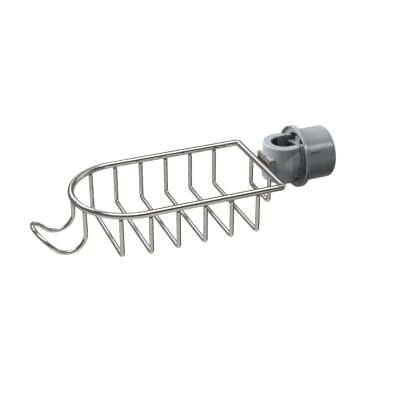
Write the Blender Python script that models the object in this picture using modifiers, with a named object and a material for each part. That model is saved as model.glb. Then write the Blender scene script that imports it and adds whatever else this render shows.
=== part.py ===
"""Faucet organizer rack: a wire basket that hangs on a clamp round a faucet's upright pipe.

Units are metres and +Z is up. The origin is the point where the pipe's axis crosses the
axis of the clamp nut. +X runs along the nut, away from the basket.
"""
import math

import bmesh
import bpy
from mathutils import Vector

# Fits
FIT_GAP = 0.0003             # air between two pieces that touch
CUT_OVERRUN = 0.0030         # how far a cutter runs past the face that it opens
WELD_DISTANCE = 0.000005     # points closer than this are one point

# Basket rim: one bent rod and one straight end rod
RIM_D = 0.0070
RIM_HALF_WIDTH = 0.0575      # to the rod's centre line
RIM_STRAIGHT = 0.1495        # end rod to the start of the half round
RIM_BELOW_AXIS = 0.0012      # rim plane below the nut's axis

# Basket ribs: bent wires across the basket
RIB_D = 0.0048
RIB_COUNT = 6
RIB_PITCH = 0.0289
RIB_DROP = 0.0461            # rim plane to the centre line of the bottom run
RIB_BEND_R = 0.0045
END_RIB_HALF_WIDTH = 0.0225
END_RIB_DROP = 0.0350
END_RIB_SHIFT = 0.0009       # from the end rod's centre line towards the clamp

# Hook at the round end: a U of wire bent down, out and up
HOOK_D = 0.0048
HOOK_HALF_WIDTH = 0.0235
HOOK_DROP = 0.0285           # straight leg under the rim
HOOK_BEND_R = 0.0183
HOOK_TURN = math.radians(135)

# Hanger plate, welded to the end rod, and its hook tab
PLATE_T = 0.0010
PLATE_HALF_WIDTH = 0.0144
PLATE_ABOVE_RIM = 0.0092
PLATE_BELOW_RIM = 0.0070
PLATE_CORNER_R = 0.0015
TAB_HALF_WIDTH = 0.0110
TAB_T = 0.0010
TAB_ABOVE_RIM = 0.0007       # underside of the tab's neck
TAB_BEND_R = 0.0006          # inside of the fold
BASKET_LIFT = 0.0050         # travel before the tab clears its wall

# Pipe that the clamp is made for
PIPE_D = 0.0250
LINER_T = 0.0024
LINER_HALF_SPAN = math.radians(85)

# Clamp body
BODY_R = 0.0220
BODY_HALF_HEIGHT = 0.0203
BODY_EDGE_R = 0.0010
LIP_T = 0.0025               # lips above and below the liner
LIP_PLAY = 0.0008            # pipe to lip
BLOCK_PROUD = 0.0002         # hanger block in front of the round body
BLOCK_BELOW_PLATE_TOP = 0.0005
BLOCK_BELOW_RIM = 0.0080
BLOCK_EDGE_R = 0.0006
BLOCK_WALL_T = 0.0024        # wall that the hook tab hangs on

# Threaded barrel of the clamp body, along +X
BARREL_LENGTH = 0.0390       # origin to the arm tips
BARREL_SETBACK = 0.0003      # flat top and bottom, below the body's faces
BARREL_TIP_CHAMFER = 0.0010
BOSS_R = 0.0255
BOSS_START = -0.0006
BOSS_END = 0.0085
BOSS_CONE_LENGTH = 0.0120
BOSS_CONE_R = 0.0178
THREAD_DEPTH = 0.0008

# Clamp nut
NUT_MOUTH = 0.0119           # origin to the open face of the flange
NUT_END = 0.0510             # origin to the closed face
NUT_R = 0.0287               # body next to the flange
NUT_TAPER = 0.0003           # how much smaller the far end is
NUT_EDGE_R = 0.0025
NUT_CAP_T = 0.0033
NUT_PLAY = 0.0004            # bore to boss
FLANGE_R = 0.0340
FLANGE_T = 0.0049
FLANGE_WALL_T = 0.0026
FLANGE_EDGE_R = 0.0006
FLANGE_MOUTH_DEPTH = 0.0029
GRIP_COUNT = 3
GRIP_LENGTH = 0.0160
GRIP_WIDTH = 0.0035
GRIP_HEIGHT = 0.0012
GRIP_EDGE_R = 0.0005
GRIP_ANGLE = math.radians(32)

# Pressure block inside the slot, and how far it travels
TIGHTEN_TRAVEL = 0.0045
SLIDE_PLAY = 0.0004          # block to slot wall
PAD_T = 0.0015
PAD_HALF_SPAN = math.radians(38)
PAD_HALF_HEIGHT = 0.0145
HEAD_REAR = 0.0200
HEAD_HALF_HEIGHT = 0.0150
SPINE_HALF_WIDTH = 0.0050
SPINE_HALF_HEIGHT = 0.0222
THRUST_R = 0.0235
THRUST_T = 0.0029

# Facets
SMOOTH_ANGLE = math.radians(40)      # flatter edges than this are shaded smooth
ROUNDED_ANGLE = math.radians(50)     # sharper edges than this are rounded
ROD_RESOLUTION = 6
WIRE_RESOLUTION = 4
RIM_STEPS = 32
BEND_STEPS = 6
HOOK_STEPS = 12
FILLET_STEPS = 3
ROUND_SEGMENTS = 72

# Sizes that follow from the ones above
RIM_R = RIM_D / 2
RIB_R = RIB_D / 2
HOOK_R = HOOK_D / 2
PIPE_R = PIPE_D / 2
BLOCK_FACE = BODY_R + BLOCK_PROUD
PLATE_BACK = BLOCK_FACE + FIT_GAP
PLATE_FRONT = PLATE_BACK + PLATE_T
BASKET_X = -(PLATE_FRONT + FIT_GAP + RIM_R)
LINER_IN_R = PIPE_R + FIT_GAP
LINER_OUT_R = LINER_IN_R + LINER_T
RECESS_R = LINER_OUT_R + FIT_GAP
RECESS_HALF_HEIGHT = BODY_HALF_HEIGHT - LIP_T
SLOT_HALF_WIDTH = PIPE_R + LIP_PLAY
BLOCK_TOP = PLATE_ABOVE_RIM - BLOCK_BELOW_PLATE_TOP
TAB_WALL_TOP = TAB_ABOVE_RIM - FIT_GAP
TAB_DROP = TAB_WALL_TOP - (BASKET_LIFT - 2 * FIT_GAP)
POCKET_FRONT = -(BLOCK_FACE - BLOCK_WALL_T)
POCKET_BACK = POCKET_FRONT + TAB_T + 2 * FIT_GAP
POCKET_ROOF = TAB_ABOVE_RIM + TAB_T + BASKET_LIFT + FIT_GAP
MOUTH_FLOOR = NUT_MOUTH + FLANGE_MOUTH_DEPTH
SHOULDER = MOUTH_FLOOR - TIGHTEN_TRAVEL - FIT_GAP
THREAD_R = BOSS_R - THREAD_DEPTH
NUT_BORE_R = BOSS_R + NUT_PLAY
CAP_FACE = NUT_END - NUT_CAP_T
PAD_OUT_R = LINER_IN_R + PAD_T
HEAD_R = PAD_OUT_R + FIT_GAP
HEAD_HALF_WIDTH = SLOT_HALF_WIDTH - SLIDE_PLAY
THRUST_REAR = CAP_FACE - FIT_GAP
THRUST_FRONT = THRUST_REAR - THRUST_T

# Name: base colour, metallic, roughness
MATERIALS = {
    "polished_stainless_rod": ((0.62, 0.61, 0.59), 1.0, 0.12),
    "polished_stainless_wire": ((0.58, 0.57, 0.54), 1.0, 0.18),
    "polished_stainless_sheet": ((0.56, 0.56, 0.56), 1.0, 0.10),
    "grey_abs": ((0.27, 0.28, 0.29), 0.0, 0.38),
    "grey_abs_slide": ((0.20, 0.21, 0.22), 0.0, 0.42),
    "black_rubber": ((0.02, 0.02, 0.02), 0.0, 0.70),
}


def clear_scene():
    """Remove every object that the file holds."""
    for obj in list(bpy.data.objects):
        bpy.data.objects.remove(obj, do_unlink=True)


def make_collection(name):
    """A collection linked to the scene."""
    group = bpy.data.collections.new(name)
    bpy.context.scene.collection.children.link(group)
    return group


def make_material(node, finish):
    """A Principled material of this finish for one node."""
    colour, metallic, roughness = MATERIALS[finish]
    material = bpy.data.materials.new(node + "_" + finish)
    material.use_nodes = True
    shader = material.node_tree.nodes["Principled BSDF"]
    shader.inputs["Base Color"].default_value = (*colour, 1.0)
    shader.inputs["Metallic"].default_value = metallic
    shader.inputs["Roughness"].default_value = roughness
    return material


def make_frame(name, place, parent=None):
    """An empty that carries the pieces of one moving group."""
    frame = bpy.data.objects.new(name, None)
    frame.location = place
    frame.parent = parent
    PIECES.objects.link(frame)
    return frame


def add_object(name, data, parent, place=(0, 0, 0), turn=(0, 0, 0)):
    """Link an object to the pieces, under its group's frame."""
    obj = bpy.data.objects.new(name, data)
    obj.location = place
    obj.rotation_euler = turn
    obj.parent = parent
    PIECES.objects.link(obj)
    return obj


def finish_piece(obj, finish):
    """Give a piece its own material and smooth shading on its round faces."""
    obj.data.materials.clear()
    obj.data.materials.append(make_material(obj.name, finish))
    obj.data.shade_smooth()
    obj.data.set_sharp_from_angle(angle=SMOOTH_ANGLE)
    return obj


def as_tool(obj):
    """Turn a shape into a cutter or a filler that only modifiers use."""
    PIECES.objects.unlink(obj)
    TOOLS.objects.link(obj)
    obj.hide_render = True
    obj.display_type = "WIRE"
    return obj


def combine(obj, tool, operation):
    """Cut, join or intersect a piece with a tool."""
    modifier = obj.modifiers.new(operation.lower() + "_" + tool.name, "BOOLEAN")
    modifier.operation = operation
    modifier.solver = "EXACT"
    modifier.object = as_tool(tool)


def bevel(obj, width, segments):
    """Round the sharp edges of a piece."""
    modifier = obj.modifiers.new("rounded_edges", "BEVEL")
    modifier.width = width
    modifier.segments = segments
    modifier.limit_method = "ANGLE"
    modifier.angle_limit = ROUNDED_ANGLE
    modifier.use_clamp_overlap = True


def mesh_object(name, build, parent, place=(0, 0, 0), turn=(0, 0, 0)):
    """An object whose mesh is filled by a function that edits a bmesh."""
    shape = bmesh.new()
    build(shape)
    mesh = bpy.data.meshes.new(name)
    shape.to_mesh(mesh)
    shape.free()
    return add_object(name, mesh, parent, place, turn)


def box(name, low, high, parent):
    """A box between two corners."""
    low, high = Vector(low), Vector(high)

    def build(shape):
        bmesh.ops.create_cube(shape, size=1)
        bmesh.ops.scale(shape, vec=high - low, verts=shape.verts)
        bmesh.ops.translate(shape, vec=(low + high) / 2, verts=shape.verts)

    return mesh_object(name, build, parent)


def cylinder(name, radius, half_length, parent, place=(0, 0, 0), turn=(0, 0, 0)):
    """A cylinder along its own Z axis."""

    def build(shape):
        bmesh.ops.create_cone(
            shape, cap_ends=True, segments=ROUND_SEGMENTS,
            radius1=radius, radius2=radius, depth=2 * half_length)

    return mesh_object(name, build, parent, place, turn)


def curve_to_mesh(obj):
    """Replace a curve object by a mesh object of the same name and place."""
    bpy.context.view_layer.update()
    seen = obj.evaluated_get(bpy.context.evaluated_depsgraph_get())
    mesh = bpy.data.meshes.new_from_object(seen)
    shape = bmesh.new()
    shape.from_mesh(mesh)
    bmesh.ops.remove_doubles(shape, verts=shape.verts, dist=WELD_DISTANCE)
    bmesh.ops.recalc_face_normals(shape, faces=shape.faces)
    shape.to_mesh(mesh)
    shape.free()
    name, parent = obj.name, obj.parent
    place, turn = obj.location.copy(), obj.rotation_euler.copy()
    bpy.data.objects.remove(obj, do_unlink=True)
    mesh.name = name
    return add_object(name, mesh, parent, place, turn)


def wire(name, path, radius, resolution, parent, place=(0, 0, 0)):
    """A round wire along a path of points."""
    curve = bpy.data.curves.new(name, "CURVE")
    curve.dimensions = "3D"
    curve.bevel_depth = radius
    curve.bevel_resolution = resolution
    curve.use_fill_caps = True
    spline = curve.splines.new("POLY")
    spline.points.add(len(path) - 1)
    for point, position in zip(spline.points, path):
        point.co = (*position, 1)
    return curve_to_mesh(add_object(name, curve, parent, place))


def outline_solid(name, outline, half_thickness, parent, place=(0, 0, 0), turn=(0, 0, 0)):
    """A flat outline in its own XY plane, as thick as twice the half thickness."""
    curve = bpy.data.curves.new(name, "CURVE")
    curve.dimensions = "2D"
    curve.fill_mode = "BOTH"
    curve.extrude = half_thickness
    spline = curve.splines.new("POLY")
    spline.points.add(len(outline) - 1)
    for point, (across, up) in zip(spline.points, outline):
        point.co = (across, up, 0, 1)
    spline.use_cyclic_u = True
    return curve_to_mesh(add_object(name, curve, parent, place, turn))


def turned_solid(name, profile, parent):
    """A profile of (radius, height) points, turned about its own Z axis, laid along +X."""

    def build(shape):
        points = [shape.verts.new((radius, 0, height)) for radius, height in profile]
        for first, second in zip(points, points[1:]):
            shape.edges.new((first, second))

    obj = mesh_object(name, build, parent, turn=(0, math.pi / 2, 0))
    screw = obj.modifiers.new("turned", "SCREW")
    screw.axis = "Z"
    screw.angle = 2 * math.pi
    screw.steps = ROUND_SEGMENTS
    screw.render_steps = ROUND_SEGMENTS
    screw.use_merge_vertices = True
    screw.merge_threshold = WELD_DISTANCE
    return obj


def folded_sheet(name, path, half_width, thickness, parent):
    """A strip of sheet bent along a path in its side view, as wide as twice the half width."""

    def build(shape):
        rows = [
            [shape.verts.new((point.x, side * half_width, point.z)) for side in (-1, 1)]
            for point in path
        ]
        for (left, right), (next_left, next_right) in zip(rows, rows[1:]):
            shape.faces.new((left, right, next_right, next_left))

    obj = mesh_object(name, build, parent)
    shell = obj.modifiers.new("thickness", "SOLIDIFY")
    shell.thickness = thickness
    shell.offset = 0
    shell.use_even_offset = True
    return obj


def arc(centre, radius, start, end, steps):
    """Points of an arc in a plane, with both ends."""
    turn = (end - start) / steps
    return [
        (centre[0] + radius * math.cos(start + turn * step),
         centre[1] + radius * math.sin(start + turn * step))
        for step in range(steps + 1)
    ]


def band(inner, outer, start, end, steps):
    """Outline of a curved band between two radii about the origin."""
    return arc((0, 0), outer, start, end, steps) + arc((0, 0), inner, end, start, steps)


def rounded_corner(before, corner, after, radius, steps):
    """Points of an arc that turns from one straight run into the next."""
    back, onward = (before - corner).normalized(), (after - corner).normalized()
    half = back.angle(onward) / 2
    centre = corner + (back + onward).normalized() * (radius / math.sin(half))
    reach = radius / math.tan(half)
    start = (corner + back * reach - centre).normalized()
    end = (corner + onward * reach - centre).normalized()
    return [centre + start.slerp(end, step / steps) * radius for step in range(steps + 1)]


def u_path(half_width, drop, radius, steps):
    """Centre line of a U wire: down one side, across the bottom, up the other."""
    corners = [
        Vector((0, -half_width, 0)), Vector((0, -half_width, -drop)),
        Vector((0, half_width, -drop)), Vector((0, half_width, 0)),
    ]
    path = [corners[0]]
    for index in (1, 2):
        path += rounded_corner(*corners[index - 1:index + 2], radius, steps)
    return path + [corners[3]]


def rim_path():
    """Centre line of the rim: one long side, the half round, the other long side."""
    bend = arc((-RIM_STRAIGHT, 0), RIM_HALF_WIDTH, -math.pi / 2, -3 * math.pi / 2, RIM_STEPS)
    points = [(0, -RIM_HALF_WIDTH)] + bend + [(0, RIM_HALF_WIDTH)]
    return [(across, aside, 0) for across, aside in points]


def rim_half_width_at(distance):
    """Half width between the rim's centre lines, this far from the end rod."""
    past = max(distance - RIM_STRAIGHT, 0)
    return math.sqrt(RIM_HALF_WIDTH ** 2 - past ** 2)


def hook_point(run, aside):
    """A point of the hook wire after this length of wire, this far off the middle."""
    turn = min(max(run - HOOK_DROP, 0) / HOOK_BEND_R, HOOK_TURN)
    straight = max(run - HOOK_DROP - HOOK_BEND_R * HOOK_TURN, 0)
    rise = HOOK_TURN - math.pi / 2
    out = HOOK_BEND_R * (1 - math.cos(turn)) + straight * math.cos(rise)
    down = min(run, HOOK_DROP) + HOOK_BEND_R * math.sin(turn) - straight * math.sin(rise)
    return (-out, aside, -down)


def hook_path():
    """Centre line of the hook: a leg, its bend, the round end, and back up the other leg."""
    bend = [HOOK_DROP + HOOK_BEND_R * HOOK_TURN * step / HOOK_STEPS for step in range(HOOK_STEPS)]
    leg = [0] + bend
    straight = HOOK_DROP + HOOK_BEND_R * HOOK_TURN
    tip = arc((straight, 0), HOOK_HALF_WIDTH, -math.pi / 2, math.pi / 2, 2 * HOOK_STEPS)
    path = [hook_point(run, -HOOK_HALF_WIDTH) for run in leg]
    path += [hook_point(run, aside) for run, aside in tip]
    path += [hook_point(run, HOOK_HALF_WIDTH) for run in reversed(leg)]
    return path


def mitre_shift():
    """How far each mitred end steps back along its rod to leave the fit gap."""
    return FIT_GAP * math.sqrt(2) / 2


def make_rim_rod(basket):
    """The long rod round three sides, its two ends mitred."""
    rim = wire("rim_rod", rim_path(), RIM_R, ROD_RESOLUTION, basket)
    for vertex in rim.data.vertices:
        if vertex.co.x > -RIM_R:
            vertex.co.x = abs(vertex.co.y) - RIM_HALF_WIDTH - mitre_shift()
    finish_piece(rim, "polished_stainless_rod")


def make_end_rod(basket):
    """The straight rod at the clamp end, mitred to meet the rim rod."""
    ends = [(0, -RIM_HALF_WIDTH, 0), (0, RIM_HALF_WIDTH, 0)]
    rod = wire("end_rod", ends, RIM_R, ROD_RESOLUTION, basket)
    for vertex in rod.data.vertices:
        reach = RIM_HALF_WIDTH + vertex.co.x - mitre_shift()
        vertex.co.y = math.copysign(reach, vertex.co.y)
    finish_piece(rod, "polished_stainless_rod")


def fit_under(obj, path, parent):
    """Cut the tops of a wire's legs to the round of the rod above them."""
    room = wire(obj.name + "_seat", path, RIM_R + FIT_GAP, ROD_RESOLUTION, parent)
    combine(obj, room, "DIFFERENCE")


def make_ribs(basket):
    """Equal U wires across the basket, the last ones narrower under the half round."""
    for index in range(1, RIB_COUNT + 1):
        distance = RIB_PITCH * index
        path = u_path(rim_half_width_at(distance), RIB_DROP, RIB_BEND_R, BEND_STEPS)
        rib = wire(f"rib_{index}", path, RIB_R, WIRE_RESOLUTION, basket, (-distance, 0, 0))
        fit_under(rib, rim_path(), basket)
        finish_piece(rib, "polished_stainless_wire")


def make_end_rib(basket):
    """The shallow U wire under the end rod."""
    path = u_path(END_RIB_HALF_WIDTH, END_RIB_DROP, RIB_BEND_R, BEND_STEPS)
    rib = wire("end_rib", path, RIB_R, WIRE_RESOLUTION, basket, (END_RIB_SHIFT, 0, 0))
    rod = [(0, -RIM_HALF_WIDTH, 0), (0, RIM_HALF_WIDTH, 0)]
    fit_under(rib, rod, basket)
    finish_piece(rib, "polished_stainless_wire")


def make_hook_wire(basket):
    """The hook at the round end, both legs under the rim."""
    across = math.sqrt(RIM_HALF_WIDTH ** 2 - HOOK_HALF_WIDTH ** 2)
    place = (-RIM_STRAIGHT - across, 0, 0)
    hook = wire("hook_wire", hook_path(), HOOK_R, WIRE_RESOLUTION, basket, place)
    fit_under(hook, rim_path(), basket)
    finish_piece(hook, "polished_stainless_wire")


def rounded_rectangle(low, high, radius, steps):
    """Outline of a rectangle with round corners."""
    corners = [(high[0], low[1]), (high[0], high[1]), (low[0], high[1]), (low[0], low[1])]
    points = [Vector(corner) for corner in corners]
    outline = []
    for index, corner in enumerate(points):
        after = points[(index + 1) % len(points)]
        outline += [tuple(p) for p in rounded_corner(points[index - 1], corner, after, radius, steps)]
    return outline


def make_hanger_plate(basket):
    """The polished plate on the end rod's outer side."""
    outline = rounded_rectangle(
        (-PLATE_HALF_WIDTH, -PLATE_BELOW_RIM), (PLATE_HALF_WIDTH, PLATE_ABOVE_RIM),
        PLATE_CORNER_R, FILLET_STEPS)
    middle = -(PLATE_BACK + PLATE_T / 2) - BASKET_X
    plate = outline_solid(
        "hanger_plate", outline, PLATE_T / 2, basket, (middle, 0, 0),
        (math.pi / 2, 0, math.pi / 2))
    finish_piece(plate, "polished_stainless_sheet")


def tab_path():
    """Middle line of the hook tab: out of the plate, then folded down behind the wall."""
    start = -PLATE_BACK + FIT_GAP - BASKET_X
    across = POCKET_FRONT + FIT_GAP + TAB_T / 2 - BASKET_X
    neck = TAB_ABOVE_RIM + TAB_T / 2
    begin, corner = Vector((start, 0, neck)), Vector((across, 0, neck))
    end = Vector((across, 0, TAB_DROP))
    fold = rounded_corner(begin, corner, end, TAB_BEND_R + TAB_T / 2, FILLET_STEPS)
    return [begin] + fold + [end]


def make_hanger_hook(basket):
    """The tab on the plate's back that hangs behind the clamp's wall."""
    tab = folded_sheet("hanger_hook", tab_path(), TAB_HALF_WIDTH, TAB_T, basket)
    finish_piece(tab, "polished_stainless_sheet")


def barrel_profile():
    """Half section of the boss and the threaded arms, far end first."""
    return [
        (0, BARREL_LENGTH),
        (THREAD_R - BARREL_TIP_CHAMFER, BARREL_LENGTH),
        (THREAD_R, BARREL_LENGTH - BARREL_TIP_CHAMFER),
        (THREAD_R, BOSS_END),
        (BOSS_R, BOSS_END),
        (BOSS_R, BOSS_START),
        (BOSS_CONE_R, BOSS_START - BOSS_CONE_LENGTH),
        (0, BOSS_START - BOSS_CONE_LENGTH),
    ]


def make_barrel(clamp):
    """Boss and threaded arms as one turned piece with a flat top and bottom."""
    barrel = turned_solid("barrel", barrel_profile(), clamp)
    flat = BODY_HALF_HEIGHT - BARREL_SETBACK
    reach = BARREL_LENGTH + CUT_OVERRUN
    combine(barrel, box("barrel_flats", (-reach, -reach, -flat), (reach, reach, flat), clamp),
            "INTERSECT")
    return barrel


def slot_outline():
    """Plan of the pipe's bore and the slot that leads from it to the open end."""
    reach = BARREL_LENGTH + CUT_OVERRUN
    bore = arc((0, 0), SLOT_HALF_WIDTH, math.pi / 2, 3 * math.pi / 2, ROUND_SEGMENTS // 2)
    return bore + [(reach, -SLOT_HALF_WIDTH), (reach, SLOT_HALF_WIDTH)]


def pocket_outline():
    """Side view of the window and the pocket that take the hook tab."""
    floor = TAB_DROP - FIT_GAP
    mouth = -BLOCK_FACE - CUT_OVERRUN
    return [
        (mouth, TAB_WALL_TOP), (POCKET_FRONT, TAB_WALL_TOP), (POCKET_FRONT, floor),
        (POCKET_BACK, floor), (POCKET_BACK, POCKET_ROOF), (mouth, POCKET_ROOF),
    ]


def make_clamp_body(clamp):
    """The moulded body: round collar, boss, slotted threaded arms and hanger block."""
    body = cylinder("clamp_body", BODY_R, BODY_HALF_HEIGHT, clamp)
    bevel(body, BODY_EDGE_R, FILLET_STEPS)
    tall = BODY_HALF_HEIGHT + CUT_OVERRUN
    wide = BODY_R + CUT_OVERRUN
    combine(body, box("shoulder", (SHOULDER, -wide, -tall), (wide, wide, tall), clamp),
            "DIFFERENCE")
    combine(body, make_barrel(clamp), "UNION")
    block = box(
        "hanger_block",
        (-BLOCK_FACE, -PLATE_HALF_WIDTH, -RIM_BELOW_AXIS - BLOCK_BELOW_RIM),
        (-RECESS_R, PLATE_HALF_WIDTH, -RIM_BELOW_AXIS + BLOCK_TOP), clamp)
    bevel(block, BLOCK_EDGE_R, FILLET_STEPS)
    combine(body, block, "UNION")
    combine(body, outline_solid("pipe_slot", slot_outline(), tall, clamp), "DIFFERENCE")
    recess = arc((0, 0), RECESS_R, math.pi / 2, 3 * math.pi / 2, ROUND_SEGMENTS // 2)
    combine(body, outline_solid("liner_recess", recess, RECESS_HALF_HEIGHT, clamp), "DIFFERENCE")
    pocket = outline_solid(
        "tab_pocket", pocket_outline(), TAB_HALF_WIDTH + FIT_GAP, clamp,
        (0, 0, -RIM_BELOW_AXIS), (math.pi / 2, 0, 0))
    combine(body, pocket, "DIFFERENCE")
    finish_piece(body, "grey_abs")


def make_pipe_liner(clamp):
    """The rubber half sleeve between the pipe and the clamp body."""
    start, end = math.pi - LINER_HALF_SPAN, math.pi + LINER_HALF_SPAN
    outline = band(LINER_IN_R, LINER_OUT_R, start, end, ROUND_SEGMENTS // 2)
    liner = outline_solid("pipe_liner", outline, RECESS_HALF_HEIGHT - FIT_GAP, clamp)
    finish_piece(liner, "black_rubber")


def head_outline():
    """Plan of the pressure block's head, hollowed for the pipe and its pad."""
    hollow = arc((0, 0), HEAD_R, PAD_HALF_SPAN, -PAD_HALF_SPAN, BEND_STEPS * 2)
    face = HEAD_R * math.cos(PAD_HALF_SPAN)
    return [
        (face, -HEAD_HALF_WIDTH), (HEAD_REAR, -HEAD_HALF_WIDTH),
        (HEAD_REAR, HEAD_HALF_WIDTH), (face, HEAD_HALF_WIDTH),
    ] + hollow


def make_pressure_block(presser):
    """The block that the nut drives against the pipe: head, spine and thrust plate."""
    block = outline_solid("pressure_block", head_outline(), HEAD_HALF_HEIGHT, presser)
    middle = (HEAD_REAR + HEAD_R) / 2
    spine = box(
        "spine", (middle, -SPINE_HALF_WIDTH, -SPINE_HALF_HEIGHT),
        ((THRUST_FRONT + THRUST_REAR) / 2, SPINE_HALF_WIDTH, SPINE_HALF_HEIGHT), presser)
    combine(block, spine, "UNION")
    thrust = cylinder(
        "thrust_plate", THRUST_R, THRUST_T / 2, presser,
        ((THRUST_FRONT + THRUST_REAR) / 2, 0, 0), (0, math.pi / 2, 0))
    reach = THRUST_REAR + CUT_OVERRUN
    sides = box("thrust_sides", (0, -HEAD_HALF_WIDTH, -reach), (reach, HEAD_HALF_WIDTH, reach),
                presser)
    combine(thrust, sides, "INTERSECT")
    combine(block, thrust, "UNION")
    finish_piece(block, "grey_abs_slide")


def make_pressure_pad(presser):
    """The rubber pad on the pressure block's hollow face."""
    outline = band(LINER_IN_R, PAD_OUT_R, -PAD_HALF_SPAN, PAD_HALF_SPAN, BEND_STEPS * 2)
    pad = outline_solid("pressure_pad", outline, PAD_HALF_HEIGHT, presser)
    finish_piece(pad, "black_rubber")


def nut_profile():
    """Half section of the nut: closed end, tapering body, flange, mouth and bore."""
    flange_back = NUT_MOUTH + FLANGE_T
    end_r = NUT_R - NUT_TAPER
    outer_edge = arc((end_r - NUT_EDGE_R, NUT_END - NUT_EDGE_R), NUT_EDGE_R,
                     math.pi / 2, 0, FILLET_STEPS * 2)
    back_edge = arc((FLANGE_R - FLANGE_EDGE_R, flange_back - FLANGE_EDGE_R), FLANGE_EDGE_R,
                    math.pi / 2, 0, FILLET_STEPS)
    front_edge = arc((FLANGE_R - FLANGE_EDGE_R, NUT_MOUTH + FLANGE_EDGE_R), FLANGE_EDGE_R,
                     0, -math.pi / 2, FILLET_STEPS)
    mouth_r = FLANGE_R - FLANGE_WALL_T
    return (
        [(0, NUT_END)] + outer_edge + [(NUT_R, flange_back)] + back_edge + front_edge
        + [(mouth_r, NUT_MOUTH), (mouth_r, MOUTH_FLOOR), (NUT_BORE_R, MOUTH_FLOOR),
           (NUT_BORE_R, CAP_FACE), (0, CAP_FACE)])


def make_grip(index, nut):
    """One raised rib on the nut's side, running out from the flange."""
    flange_back = NUT_MOUTH + FLANGE_T
    foot = (NUT_R + NUT_BORE_R) / 2
    grip = box(
        f"grip_{index}", (flange_back - FLANGE_T / 2, -GRIP_WIDTH / 2, foot),
        (flange_back + GRIP_LENGTH, GRIP_WIDTH / 2, NUT_R + GRIP_HEIGHT), nut)
    bevel(grip, GRIP_EDGE_R, FILLET_STEPS)
    grip.rotation_euler.x = math.pi / 2 - GRIP_ANGLE + 2 * math.pi * index / GRIP_COUNT
    return grip


def make_clamp_nut(nut):
    """The flanged nut with its closed end and grip ribs."""
    obj = turned_solid("clamp_nut", nut_profile(), nut)
    for index in range(GRIP_COUNT):
        combine(obj, make_grip(index, nut), "UNION")
    finish_piece(obj, "grey_abs")


def build_part():
    """Make every piece under the frame of the group that carries it."""
    clamp = make_frame("clamp_frame", (0, 0, 0))
    basket = make_frame("basket_frame", (BASKET_X, 0, -RIM_BELOW_AXIS), clamp)
    presser = make_frame("presser_frame", (0, 0, 0), clamp)
    nut = make_frame("nut_frame", (0, 0, 0), presser)
    make_rim_rod(basket)
    make_end_rod(basket)
    make_ribs(basket)
    make_end_rib(basket)
    make_hook_wire(basket)
    make_hanger_plate(basket)
    make_hanger_hook(basket)
    make_clamp_body(clamp)
    make_pipe_liner(clamp)
    make_pressure_block(presser)
    make_pressure_pad(presser)
    make_clamp_nut(nut)


clear_scene()
PIECES = make_collection("faucet_organizer_rack")
TOOLS = make_collection("cutters")
build_part()
print("pieces:", sorted(obj.name for obj in PIECES.objects if obj.type == "MESH"))
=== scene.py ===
# %% [markdown]
# This lesson dresses a faucet organizer rack: a basket of polished stainless wire that hangs
# on a grey plastic screw clamp. The solids of the rack are already made and placed. They
# could be given materials as they are, but their round parts are made of flat facets and
# their edges are sharp. So they are loaded first as a frame that nothing here moves, and a
# smooth new surface is fitted to each of them.

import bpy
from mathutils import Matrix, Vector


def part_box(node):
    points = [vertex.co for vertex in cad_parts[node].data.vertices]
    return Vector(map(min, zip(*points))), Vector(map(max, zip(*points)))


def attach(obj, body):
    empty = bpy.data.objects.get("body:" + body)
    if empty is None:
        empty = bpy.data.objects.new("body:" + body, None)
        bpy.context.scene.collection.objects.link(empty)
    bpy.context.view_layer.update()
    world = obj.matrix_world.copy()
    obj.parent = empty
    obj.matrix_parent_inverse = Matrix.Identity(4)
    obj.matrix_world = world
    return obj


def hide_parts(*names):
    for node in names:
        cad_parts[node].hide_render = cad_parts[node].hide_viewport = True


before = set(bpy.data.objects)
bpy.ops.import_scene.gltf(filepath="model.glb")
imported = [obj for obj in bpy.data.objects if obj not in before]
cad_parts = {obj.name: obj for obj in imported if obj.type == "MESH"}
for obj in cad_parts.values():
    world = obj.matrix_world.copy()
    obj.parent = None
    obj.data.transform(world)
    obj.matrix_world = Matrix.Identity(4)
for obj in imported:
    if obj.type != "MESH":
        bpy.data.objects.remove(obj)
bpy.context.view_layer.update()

# %% [markdown]
# Everything is measured in metres, but sizes of this object are easier to read in
# millimetres, so one unit value turns them. The rods, the ribs and the clamp could be typed
# in again here, but then a change to the solids would leave their new surfaces behind. So
# the main sizes are read from the boxes of the solids.

# %% Units and sizes read from the frame
import math

import bpy
import numpy as np
from mathutils import Vector

MM = 0.001

rim_low, rim_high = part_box("rim_rod")
rod_low, rod_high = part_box("end_rod")
rib_low, rib_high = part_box("rib_1")
hook_low, hook_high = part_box("hook_wire")
plate_low, plate_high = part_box("hanger_plate")
body_low, body_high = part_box("clamp_body")
nut_low, nut_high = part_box("clamp_nut")
block_low, block_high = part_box("pressure_block")
_, liner_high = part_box("pipe_liner")
_, pad_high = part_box("pressure_pad")
tab_low, tab_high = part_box("hanger_hook")

ROD_R = (rim_high.z - rim_low.z) / 2
RIM_Z = (rim_high.z + rim_low.z) / 2
RIM_HALF_WIDTH = (rim_high.y - rim_low.y) / 2 - ROD_R
END_X = (rod_high.x + rod_low.x) / 2
WIRE_R = (rib_high.x - rib_low.x) / 2
ROUND_X = rim_low.x + ROD_R + RIM_HALF_WIDTH
print(f"rod {2 * ROD_R / MM:.2f} mm, wire {2 * WIRE_R / MM:.2f} mm, "
      f"rim {2 * RIM_HALF_WIDTH / MM:.1f} mm wide, end rod at x {END_X / MM:.1f} mm")

# %% [markdown]
# Blender's nodes work in linear light, while colours on a screen are written as sRGB hex
# values. One function turns the one into the other, so that a colour can be compared with
# a picture by its hex value. Nodes could be placed by hand in the editor, but a script can
# be read and run again. One more function adds a shader node with its settings and its
# links, so that each material below reads as a short list.

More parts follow.
